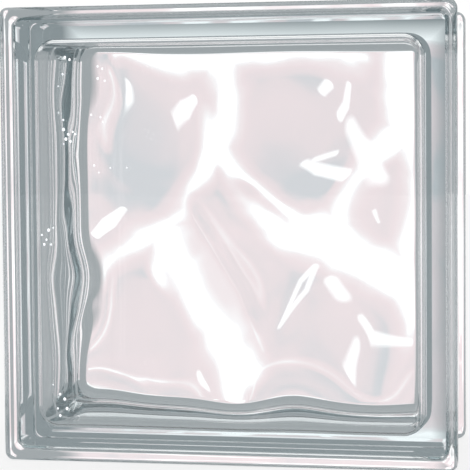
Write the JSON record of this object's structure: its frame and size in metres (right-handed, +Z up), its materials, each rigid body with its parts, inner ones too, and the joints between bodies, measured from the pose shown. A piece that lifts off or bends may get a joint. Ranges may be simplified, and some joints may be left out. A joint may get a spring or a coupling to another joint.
{
  "type": "glass block",
  "caption": "Square hollow clear glass block with waved inner faces, rounded lips and mortar channels round its edges.",
  "frame": {"origin": "middle of the footprint, on the floor under the lower edge", "axes": "+X along the width, +Y from the front face through the depth to the rear face, +Z up"},
  "size_m": [0.19, 0.08, 0.19],
  "materials": {
    "glass": "clear pressed glass, faint cool tint, fire-polished"
  },
  "bodies": {
    "root": {"glass_block": "glass"}
  },
  "joints": []
}
